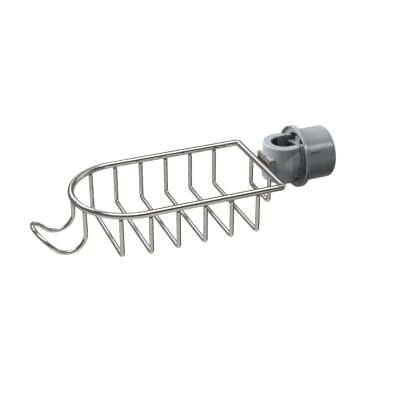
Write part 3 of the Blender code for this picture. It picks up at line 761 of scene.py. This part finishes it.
nut_points, nut_faces = surface_net(clamp_nut_distance, nut_low, nut_high, NUT_STEP)
add_piece("moulded_clamp_nut", nut_points, nut_faces, CLAMP_ABS, "nut",
          ["clamp_nut"])

# %% [markdown]
# The pressure block is what the nut pushes into the bore. Its head is hollowed for the
# rubber pad, a spine runs back through the slot, and a thin thrust plate takes the push of
# the nut's closed end. The pad and the liner are bands bent round the bore's axis. They
# could be strips bent by a modifier, but a band is easy to say outright, as a distance in
# radius, in angle and in height.

# %% Pressure block, its pad and the liner
HEAD_REAR = 20.0 * MM
HEAD_R = 14.6 * MM
HEAD_HALF_HEIGHT = 15.0 * MM
SPINE_HALF_T = 5.0 * MM
SPINE_HALF_HEIGHT = 22.2 * MM
SPINE_IN_HEAD = 3.0 * MM
THRUST_T = 2.9 * MM
SPINE_IN_THRUST = 1.9 * MM
RUBBER_IN_R = 12.8 * MM      # the inside of liner and pad, where they grip
LINER_OUT_R = 15.2 * MM
RUBBER_EDGE = 0.3 * MM
PAD_SPAN = math.radians(38)
LINER_SPAN = math.radians(85)


def pressure_block_distance(x, y, z):
    """Head, spine and thrust plate joined, with the head's face hollowed by a cylinder."""
    head = rounded_box(x, y, z, (block_low.x, block_low.y, -HEAD_HALF_HEIGHT),
                       (HEAD_REAR, block_high.y, HEAD_HALF_HEIGHT), MOULD_EDGE)
    head = soft_max(head, HEAD_R - np.hypot(x, y), CUT_EDGE)
    front = block_high.x - THRUST_T
    spine = rounded_box(x, y, z, (HEAD_REAR - SPINE_IN_HEAD, -SPINE_HALF_T, -SPINE_HALF_HEIGHT),
                        (front + SPINE_IN_THRUST, SPINE_HALF_T, SPINE_HALF_HEIGHT), MOULD_EDGE)
    thrust = rounded(np.maximum(np.hypot(y, z) - block_high.z, np.abs(y) - block_high.y),
                     np.maximum(x - block_high.x, front - x), MOULD_EDGE)
    return soft_min(soft_min(head, spine, BODY_FILLET), thrust, BODY_FILLET)


def band_distance(x, y, z, inner, outer, half_span, middle, half_height):
    """A curved band about Z between two radii, this far either side of a middle angle."""
    turn = np.angle(np.exp(1j * (np.arctan2(y, x) - middle)))
    radial = np.abs(np.hypot(x, y) - (inner + outer) / 2) - (outer - inner) / 2
    sides = (np.abs(turn) - half_span) * (inner + outer) / 2
    return rounded(np.maximum(radial, sides), np.abs(z) - half_height, RUBBER_EDGE)


def liner_distance(x, y, z):
    """The half sleeve on the basket's side of the bore."""
    return band_distance(x, y, z, RUBBER_IN_R, LINER_OUT_R, LINER_SPAN, math.pi, liner_high.z)


def pad_distance(x, y, z):
    """The pad on the pressure block's hollow face."""
    return band_distance(x, y, z, RUBBER_IN_R, pad_high.x, PAD_SPAN, 0, pad_high.z)


INNER_STEP = 0.5 * MM
for piece, solid, shape, finish, carrier, slot_name in (
        ("moulded_pressure_block", "pressure_block", pressure_block_distance, SLIDE_ABS,
         "presser", "grey_abs_slide"),
        ("rubber_pipe_liner", "pipe_liner", liner_distance, RUBBER, "clamp", "black_rubber"),
        ("rubber_pressure_pad", "pressure_pad", pad_distance, RUBBER, "presser",
         "black_rubber")):
    piece_points, piece_faces = surface_net(shape, *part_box(solid), INNER_STEP)
    add_piece(piece, piece_points, piece_faces, finish, carrier, [solid])

# %% [markdown]
# The hanger plate is cut from sheet, so its outline has small round corners and its cut
# edges are only broken, not rounded. The tab behind it is the same sheet, folded once. Both
# could be flat outlines with a solidify modifier, but the fold's inner and outer radius
# have one centre, and that is said most simply by two rounded corners, one inside the
# other. The net is finer here, because the sheet is only 1 mm thick.

# %% Hanger plate and its tab
PLATE_CORNER = 1.5 * MM
PLATE_EDGE = 0.25 * MM
TAB_FOLD = 1.6 * MM          # the fold's outer radius
TAB_EDGE = 0.2 * MM
TAB_ROOT = 0.4 * MM          # how far the tab runs into the plate's weld
SHEET_STEP = 0.25 * MM


def plate_distance(x, y, z):
    """A rounded rectangle as thick as the sheet, its edges a little broken."""
    middle, half = (plate_high.z + plate_low.z) / 2, (plate_high.z - plate_low.z) / 2
    outline = rounded(np.abs(y) - plate_high.y, np.abs(z - middle) - half, PLATE_CORNER)
    centre, half_t = (plate_high.x + plate_low.x) / 2, (plate_high.x - plate_low.x) / 2
    return rounded(outline, np.abs(x - centre) - half_t, PLATE_EDGE)


def tab_distance(x, y, z):
    """A strip with a square fold: out from the plate, then down behind the wall."""
    outer = rounded(x - tab_high.x, z - tab_high.z, TAB_FOLD)
    inner = rounded(x - tab_high.x + SHEET_T, z - tab_high.z + SHEET_T, TAB_FOLD - SHEET_T)
    strip = np.maximum(np.maximum(outer, -inner),
                       np.maximum(tab_low.x - TAB_ROOT - x, tab_low.z - z))
    return rounded(strip, np.abs(y) - tab_high.y, TAB_EDGE)


for piece, solid, shape in (("polished_hanger_plate", "hanger_plate", plate_distance),
                            ("folded_hanger_tab", "hanger_hook", tab_distance)):
    piece_points, piece_faces = surface_net(shape, *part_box(solid), SHEET_STEP)
    add_piece(piece, piece_points, piece_faces, SHEET_STEEL, "basket", [solid])

# %% [markdown]
# The stage is plain: a pale floor well below the rack, because the rack is clamped high up
# and stands on nothing. The floor could be a curved backdrop, but from above a flat one
# fills the frame. It glows for the eye and for reflections, so that it reads as white while
# no more light falls on the rack, and it still takes the rack's shadow. Its paint is grey
# under that glow, so that little light comes up from it and the clamp's underside stays
# dark, as it is in the photograph.

# %% Floor
def seen_directly(tree):
    """One where a camera, glossy or transmission ray looks, zero where light is gathered."""
    paths = add_node(tree, "ShaderNodeLightPath")
    eye = add_node(tree, "ShaderNodeMath", {"operation": "MAXIMUM"}, {
        0: paths.outputs["Is Camera Ray"], 1: paths.outputs["Is Glossy Ray"]})
    eye = add_node(tree, "ShaderNodeMath", {"operation": "MAXIMUM"}, {
        0: eye.outputs[0], 1: paths.outputs["Is Transmission Ray"]})
    return eye.outputs[0]


def stage_mesh(name, points, faces, material):
    """A mesh object for the stage, which isn't part of the rack."""
    mesh = bpy.data.meshes.new(name)
    mesh.from_pydata(np.asarray(points).tolist(), [], np.asarray(faces).tolist())
    mesh.materials.append(material)
    obj = bpy.data.objects.new(name, mesh)
    bpy.context.scene.collection.objects.link(obj)
    return obj


FLOOR_Z = -0.36
FLOOR_HALF = 6.0
FLOOR_GLOW = 0.95
floor_paint, tree, shader = new_material("pale_floor_paint")
shader.inputs["Base Color"].default_value = linear("#5c5a58")
shader.inputs["Roughness"].default_value = 0.9
shader.inputs["Emission Color"].default_value = (1, 1, 1, 1)
glow = add_node(tree, "ShaderNodeMath", {"operation": "MULTIPLY", 1: FLOOR_GLOW},
                {0: seen_directly(tree)})
tree.links.new(glow.outputs[0], shader.inputs["Emission Strength"])
floor_corners = FLOOR_HALF * np.array([(-1, -1, 0), (1, -1, 0), (1, 1, 0), (-1, 1, 0)])
stage_mesh("pale_floor", floor_corners + (0, 0, FLOOR_Z), [(0, 1, 2, 3)], floor_paint)
print("floor at", FLOOR_Z, "m")

# %% [markdown]
# Polished steel has hardly a colour of its own and shows what stands round it. In white
# surroundings a rod would vanish, so grey cards of several tones stand round the rack, as a
# product photographer sets them. A rod then has the pattern that makes it read as steel:
# a dark edge, a white stripe from overhead, a dark line and a light band from the floor.
# A picture of a studio on the world could give that too, but cards can be set one by one.
# A card here is a strip swept about the rack. Only glossy rays see it, and it glows with its
# own even tone and takes no light: a painted surround that shows only in reflections.

# %% Cards for the steel to reflect
CARD_STEP = math.radians(4)
CARD_RADIUS = 1.6
CARD_CENTRE_X = -0.11        # the middle of the rack
CARD_LIFT = 0.004            # the floor cards lie this far above the floor


def card_paint(name, colour, strength):
    """An even tone that neither lights anything nor takes light."""
    material = bpy.data.materials.new(name)
    material.use_nodes = True
    tree = material.node_tree
    tree.nodes.clear()
    tone = add_node(tree, "ShaderNodeEmission", {
        "Color": linear(colour), "Strength": strength})
    add_node(tree, "ShaderNodeOutputMaterial", {}, {"Surface": tone.outputs["Emission"]})
    return material


def add_card(name, azimuths, rows, colour, strength=1.0):
    """A strip swept about the rack: each row is a (radius, height) carried round the azimuths."""
    start, end = np.radians(azimuths)
    turn = np.linspace(start, end, max(2, round((end - start) / CARD_STEP)))
    points = np.concatenate([np.column_stack([
        CARD_CENTRE_X + radius * np.cos(turn), radius * np.sin(turn),
        np.full(len(turn), height)])
        for radius, height in rows])
    row, step = np.meshgrid(np.arange(len(rows) - 1), np.arange(len(turn) - 1), indexing="ij")
    first = (row * len(turn) + step).ravel()
    faces = np.stack([first, first + 1, first + 1 + len(turn), first + len(turn)], 1)
    card = stage_mesh(name, points, faces, card_paint(name + "_paint", colour, strength))
    card.visible_camera = card.visible_diffuse = card.visible_shadow = False
    card.visible_transmission = card.visible_volume_scatter = False


def sky_rows(low, high, radius=CARD_RADIUS):
    """Rows of a round sky between two elevations in degrees."""
    up = np.radians(np.linspace(low, high, max(2, round((high - low) / 8) + 1)))
    return np.column_stack([radius * np.cos(up), radius * np.sin(up)])


def floor_rows(near, far):
    """Two rows just above the floor, at two distances from the rack."""
    return [(near, FLOOR_Z + CARD_LIFT), (far, FLOOR_Z + CARD_LIFT)]


print("cards stand", CARD_RADIUS, "m from the middle of the rack")

# %% [markdown]
# Azimuths count from +X towards +Y, so the camera stands at about 248 degrees. To it, a rod
# along X mirrors a ring that leans to the right: the back, the ceiling and the floor in
# front. The end rod, which runs along Y, mirrors only what stands behind the rack, up to 35
# degrees. For its white stripe and for that of the round end, two cards at the back glow
# brighter than white and take no light: painted reflections of a softbox behind the rack.
# They could be lamps, but small bright lamps draw rows of dots on thin wires, and an even
# tone doesn't. The other cards are plain greys.

# %% Cards round the rack
GLOW_CARD_RADIUS = 1.55       # a little nearer, so that it stands before the other cards
GLOW_CARD_STRENGTH = 1.7               # glow of the two back cards, brighter than white: painted reflections, lit by nothing
# Behind the rack, from right to left.
add_card("back_right_card", (25, 74), sky_rows(-11, 68), "#7c7e81")
add_card("back_low_card", (74, 116), sky_rows(-11, 22), "#7c7e81")
add_card("back_high_card", (74, 150), sky_rows(42, 66), "#757573")
add_card("back_left_card", (116, 150), sky_rows(-11, 14), "#5c5c5a")
add_card("back_left_high_card", (116, 150), sky_rows(14, 42), "#a8a8a6")
# These two cards glow and take no light: painted reflections of a bright softbox behind the rack.
add_card("glow_card", (95, 146), sky_rows(36, 57, GLOW_CARD_RADIUS), "#ffffff", GLOW_CARD_STRENGTH)
add_card("glow_card_low", (76, 114), sky_rows(24, 36), "#ffffff", GLOW_CARD_STRENGTH)
# To the left and in front.
add_card("left_card", (150, 240), sky_rows(-11, 66), "#6c6c6a")
add_card("front_high_card", (240, 345), sky_rows(44, 62), "#9c9c9a")
add_card("front_low_card", (240, 345), sky_rows(-3, 44), "#4a4a48")
# On the floor. The light ones give the band along the lower half of a rod.
add_card("floor_card_back", (100, 150), floor_rows(0.3, 1.5), "#92928e")
add_card("floor_card_front", (150, 299), floor_rows(0.05, 1.5), "#dadad8")
add_card("floor_card_below", (299, 360), floor_rows(0.05, 0.3), "#cacac7")
add_card("floor_card_right", (299, 352), floor_rows(0.3, 1.5), "#30302e")
add_card("floor_card_far", (352, 460), floor_rows(0.05, 1.5), "#9a9a96")

# %% [markdown]
# The light is soft and comes mostly from overhead, as in the photograph: what faces up is
# palest and what faces down is dark. One large sun would do for a matt object, but metal
# and satin plastic show the shape of a lamp. So there are four panels. The long softbox
# overhead is the white stripe on the rods. A small strip further right draws the highlight
# along the nut. A panel behind and one on the left lift the collar's top and left side, and
# these two aren't seen in reflections, where they would draw bright dots on thin wires.

# %% Lamps
def add_panel(name, place, target, size, power):
    """A rectangular area light at a place, turned to face its target."""
    lamp = bpy.data.lights.new(name, "AREA")
    lamp.shape = "RECTANGLE"
    lamp.size, lamp.size_y = size
    lamp.energy = power
    obj = bpy.data.objects.new(name, lamp)
    obj.location = place
    obj.rotation_euler = (Vector(target) - Vector(place)).to_track_quat("-Z", "Y").to_euler()
    bpy.context.scene.collection.objects.link(obj)
    return obj


NUT_PLACE = (0.03, 0, 0)
add_panel("overhead_softbox", (-0.18, -0.22, 1.3), (-0.18, -0.22, 0), (1.5, 0.77), 6.3)
add_panel("front_strip", (0.8, -1.02, 1.3), NUT_PLACE, (0.2, 0.4), 7.8)
back_panel = add_panel("back_panel", (-0.468, 0.936, 1.06), NUT_PLACE, (0.6, 0.6), 30)
left_panel = add_panel("left_panel", (-1.2, 0.486, 0.52), NUT_PLACE, (1.0, 0.7), 30)
back_panel.visible_glossy = left_panel.visible_glossy = False

# %% [markdown]
# The world is white to the eye and in reflections. Its light on the rack itself is soft and
# much weaker, so that colours come out about as they are written. A white world without
# that difference would be simpler, but it would light the rack from below as much as from
# above, and the clamp would lose its shape.

# %% World
WORLD_FILL = 0.06
world = bpy.data.worlds.new("white_studio")
bpy.context.scene.world = world
world.use_nodes = True
tree = world.node_tree
tree.nodes.clear()
strength = add_node(tree, "ShaderNodeMapRange", {"To Min": WORLD_FILL, "To Max": 1.0},
                    {"Value": seen_directly(tree)})
light = add_node(tree, "ShaderNodeBackground", {"Color": (1, 1, 1, 1)},
                 {"Strength": strength.outputs["Result"]})
add_node(tree, "ShaderNodeOutputWorld", {}, {"Surface": light.outputs["Background"]})
print("world fill:", WORLD_FILL)

# %% [markdown]
# The camera stands where the photograph was taken from: in front and a little to the left,
# looking down at about 29 degrees. Its place was worked out from the rim's corners, the
# evenly spaced ribs and the nut. It could be pointed at the rack by a constraint, but then
# the rack would sit in the middle, while in the photograph it sits high in the frame.

# %% Camera
CAMERA_PLACE = (-431.9 * MM, -820.8 * MM, 456.9 * MM)
CAMERA_AZIMUTH = math.radians(-22.22)
CAMERA_ELEVATION = math.radians(28.85)
LENS_LENGTH = 85.47          # millimetres, worked out together with the place
lens = bpy.data.cameras.new("photo_camera")
lens.sensor_fit = "AUTO"
lens.sensor_width = 36.0
lens.lens = LENS_LENGTH
lens.dof.use_dof = False
camera = bpy.data.objects.new("photo_camera", lens)
camera.location = CAMERA_PLACE
camera.rotation_euler = (math.pi / 2 - CAMERA_ELEVATION, 0, CAMERA_AZIMUTH)
bpy.context.scene.collection.objects.link(camera)
bpy.context.scene.camera = camera
bpy.context.scene.view_settings.view_transform = "Standard"
